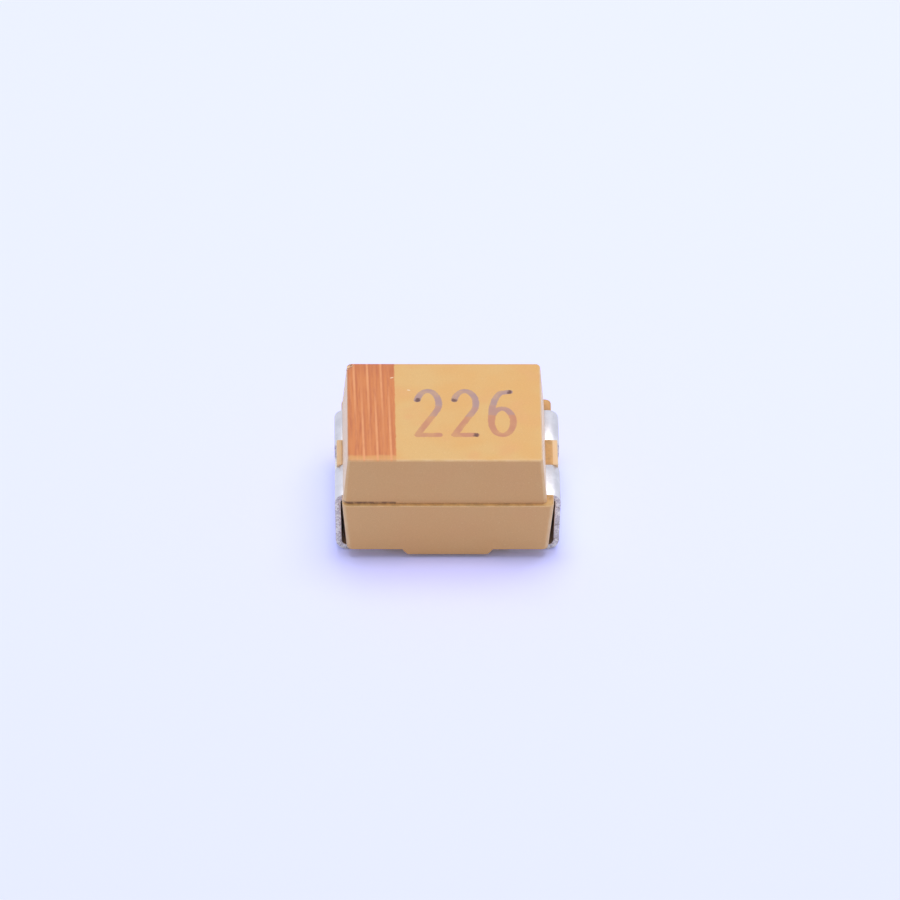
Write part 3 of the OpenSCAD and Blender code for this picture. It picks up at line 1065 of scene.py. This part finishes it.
def sheared_metal(scene):
    """Sheared edge: dull metal with tin smears and dark specks."""
    n = Nodes("sheared_metal")
    smear = n.range(n.noise(0.045, 3, 0.65), 0.42, 0.6)
    colour_now = n.mix(smear, scene.finishes.sheared, scene.finishes.sheared_smear)
    specks = n.range(n.noise(0.04, 3, 0.6, shift=(4, 1, 2)), 0.56, 0.64, 0, 0.55)
    colour_now = n.mix(specks, colour_now, scene.finishes.sheared_speck)
    n.put(colour_now, n.shader.inputs["Base Color"])
    n.shader.inputs["Metallic"].default_value = 0.5
    n.put(n.range(smear, 0, 1, 0.6, 0.42, False), n.shader.inputs["Roughness"])
    n.join(n.bump(n.noise(0.025, 4, 0.7), 0.005), n.shader.inputs["Normal"])
    return n.material


def sealed_finish(name, base, dark, grain, depth, roughness, metallic):
    """A finish for a piece sealed in the case: two tones mixed by grain, with a bump of the same grain."""
    n = Nodes(name)
    spread = n.noise(grain, 4, 0.65)
    n.put(n.mix(n.range(spread, 0.35, 0.65), base, dark), n.shader.inputs["Base Color"])
    n.shader.inputs["Metallic"].default_value = metallic
    n.put(n.range(spread, 0.3, 0.7, roughness - 0.08, roughness + 0.08, False), n.shader.inputs["Roughness"])
    n.join(n.bump(spread, depth), n.shader.inputs["Normal"])
    return n.material


# Both tones of each sealed piece, the size and depth of its grain in millimetres, its roughness and how
# metallic it is
SEALED = {
    "anode_wire": (tint(150, 152, 160), tint(112, 114, 122), 0.03, 0.001, 0.35, 1.0),
    "anode_pellet": (tint(92, 94, 102), tint(58, 60, 68), 0.015, 0.006, 0.7, 0.8),
    "manganese_dioxide_layer": (tint(44, 38, 38), tint(28, 24, 24), 0.02, 0.004, 0.75, 0.0),
    "carbon_layer": (tint(34, 34, 38), tint(20, 20, 22), 0.03, 0.002, 0.6, 0.0),
    "silver_paint_layer": (tint(206, 207, 208), tint(170, 171, 174), 0.04, 0.003, 0.45, 0.8),
    "silver_adhesive": (tint(176, 174, 168), tint(140, 138, 134), 0.05, 0.006, 0.55, 0.7),
    "insulating_washer": (tint(238, 238, 232), tint(222, 222, 216), 0.1, 0.001, 0.4, 0.0),
}


class CAPACITOR_OT_sealed(bpy.types.Operator):
    """Finish the pieces sealed inside the case"""

    bl_idname = "capacitor.finish_sealed"
    bl_label = "Sealed Pieces"

    def execute(self, context):
        for node, settings in SEALED.items():
            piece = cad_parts[node]
            piece.data.materials.clear()
            piece.data.materials.append(sealed_finish(node, *settings))
        return {"FINISHED"}


# ---------------------------------------------------------------- stage


def soft_lamp(name, place, size, power, aim, tone):
    """A square area lamp that faces the aim."""
    lamp = bpy.data.lights.new(name, "AREA")
    lamp.shape = "SQUARE"
    lamp.size = size
    lamp.energy = power
    lamp.color = tone
    shown = bpy.data.objects.new(name, lamp)
    shown.location = place
    shown.rotation_mode = "QUATERNION"
    shown.rotation_quaternion = (Vector(aim) - Vector(place)).to_track_quat("-Z", "Y")
    bpy.context.scene.collection.objects.link(shown)


def seen(tree):
    """1 where the world is looked at, directly or in a reflection, and 0 where it only gives light."""
    path = tree.nodes.new("ShaderNodeLightPath")
    either = tree.nodes.new("ShaderNodeMath")
    either.operation = "MAXIMUM"
    tree.links.new(path.outputs["Is Camera Ray"], either.inputs[0])
    tree.links.new(path.outputs["Is Glossy Ray"], either.inputs[1])
    return either.outputs[0]


# Shares of red, green and blue that the floor, as looked at directly, throws back and glows with
FLOOR_LIT = (0.95, 0.95, 1.45)
FLOOR_GLOW = (0.05, 0.05, 0.04)


def floor_finish(scene):
    """Pale matte floor whose shadows look soft and bluish."""
    tone = scene.finishes.floor
    n = Nodes("pale_floor")
    n.put(tone, n.shader.inputs["Base Color"])
    n.shader.inputs["Roughness"].default_value = 0.9
    n.shader.inputs["Specular IOR Level"].default_value = 0.0
    lit = n.add("ShaderNodeBsdfDiffuse")
    n.put([part * share for part, share in zip(tone, FLOOR_LIT)], lit.inputs["Color"])
    glow = n.add("ShaderNodeEmission")
    n.put([part * share for part, share in zip(tone, FLOOR_GLOW)], glow.inputs["Color"])
    shown = n.add("ShaderNodeAddShader")
    n.join(lit.outputs[0], shown.inputs[0])
    n.join(glow.outputs[0], shown.inputs[1])
    both = n.add("ShaderNodeMixShader")
    n.join(n.add("ShaderNodeLightPath").outputs["Is Camera Ray"], both.inputs[0])
    n.join(n.shader.outputs[0], both.inputs[1])
    n.join(shown.outputs[0], both.inputs[2])
    n.join(both.outputs[0], n.tree.nodes["Material Output"].inputs["Surface"])
    return n.material


def pale_world(scene):
    """An even pale sky, looked at as bright as the floor and dimmer as a source of light."""
    world = bpy.data.worlds.new("pale")
    world.use_nodes = True
    tree = world.node_tree
    light = tree.nodes["Background"]
    light.inputs["Color"].default_value = (0.85, 0.90, 1.06, 1)
    light.inputs["Strength"].default_value = scene.stage_sizes.sky_strength
    shown = tree.nodes.new("ShaderNodeBackground")
    shown.inputs["Color"].default_value = (*scene.finishes.floor, 1)
    both = tree.nodes.new("ShaderNodeMixShader")
    tree.links.new(seen(tree), both.inputs[0])
    tree.links.new(light.outputs[0], both.inputs[1])
    tree.links.new(shown.outputs[0], both.inputs[2])
    tree.links.new(both.outputs[0], tree.nodes["World Output"].inputs["Surface"])
    return world


def pale_floor(scene):
    """The floor, a hair under the feet."""
    bm = bmesh.new()
    place = Matrix.Translation((0, 0, -PLAY * MM))
    bmesh.ops.create_grid(bm, x_segments=1, y_segments=1, size=0.5, matrix=place)
    mesh = bpy.data.meshes.new("floor")
    bm.to_mesh(mesh)
    bm.free()
    mesh.materials.append(floor_finish(scene))
    floor = bpy.data.objects.new("floor", mesh)
    scene.collection.objects.link(floor)


def viewing_camera(scene):
    """The camera, turned round a point over the middle of the object and set back to take in the field."""
    stage = scene.stage_sizes
    camera = bpy.data.cameras.new("camera")
    camera.lens = stage.lens
    camera.sensor_width = 36
    a, e, r = stage.azimuth, stage.elevation, stage.roll
    back = Vector((math.sin(a) * math.cos(e), -math.cos(a) * math.cos(e), math.sin(e)))
    right = Vector((math.cos(a), math.sin(a), 0))
    turned = Matrix((right, back.cross(right), back)).transposed() @ Matrix.Rotation(r, 3, "Z")
    distance = stage.field * stage.lens / camera.sensor_width
    camera.clip_start, camera.clip_end = distance / 100, distance * 10
    shown = bpy.data.objects.new("camera", camera)
    shown.rotation_mode = "QUATERNION"
    shown.rotation_quaternion = turned.to_quaternion()
    middle = Vector((0, 0, stage.aim_height))
    shown.location = middle + turned @ Vector((stage.aim_x, stage.aim_y, distance))
    scene.collection.objects.link(shown)
    scene.camera = shown


class CAPACITOR_OT_stage(bpy.types.Operator):
    """Set up the floor, lamp, world and camera"""

    bl_idname = "capacitor.add_stage"
    bl_label = "Stage"

    def execute(self, context):
        scene = context.scene
        stage = scene.stage_sizes
        pale_floor(scene)
        soft_lamp(
            "overhead",
            place=(0.007, 0.016, 0.09),
            size=stage.lamp_size,
            power=stage.lamp_power,
            aim=(0, 0, stage.aim_height),
            tone=(1.0, 0.98, 0.94),
        )
        scene.world = pale_world(scene)
        scene.view_settings.view_transform = "Standard"
        viewing_camera(scene)
        return {"FINISHED"}


class CAPACITOR_PT_panel(bpy.types.Panel):
    """Lists the steps that build the capacitor"""

    bl_label = "Capacitor"
    bl_idname = "CAPACITOR_PT_panel"
    bl_space_type = "VIEW_3D"
    bl_region_type = "UI"
    bl_category = "Capacitor"

    def draw(self, context):
        for operator in OPERATORS:
            self.layout.operator(operator.bl_idname)


GROUPS = {
    "case_sizes": CaseSizes,
    "lead_sizes": LeadSizes,
    "mark_sizes": MarkSizes,
    "finishes": Finishes,
    "stage_sizes": StageSizes,
}
OPERATORS = (CAPACITOR_OT_leads, CAPACITOR_OT_case, CAPACITOR_OT_sealed, CAPACITOR_OT_stage)


def register():
    for group in (*GROUPS.values(), *OPERATORS, CAPACITOR_PT_panel):
        bpy.utils.register_class(group)
    for name, group in GROUPS.items():
        setattr(bpy.types.Scene, name, PointerProperty(type=group))


def unregister():
    for name in GROUPS:
        delattr(bpy.types.Scene, name)
    for group in reversed((*GROUPS.values(), *OPERATORS, CAPACITOR_PT_panel)):
        bpy.utils.unregister_class(group)


def main():
    register()
    bpy.ops.capacitor.add_leads()
    bpy.ops.capacitor.add_case()
    bpy.ops.capacitor.finish_sealed()
    bpy.ops.capacitor.add_stage()


if __name__ == "__main__":
    main()
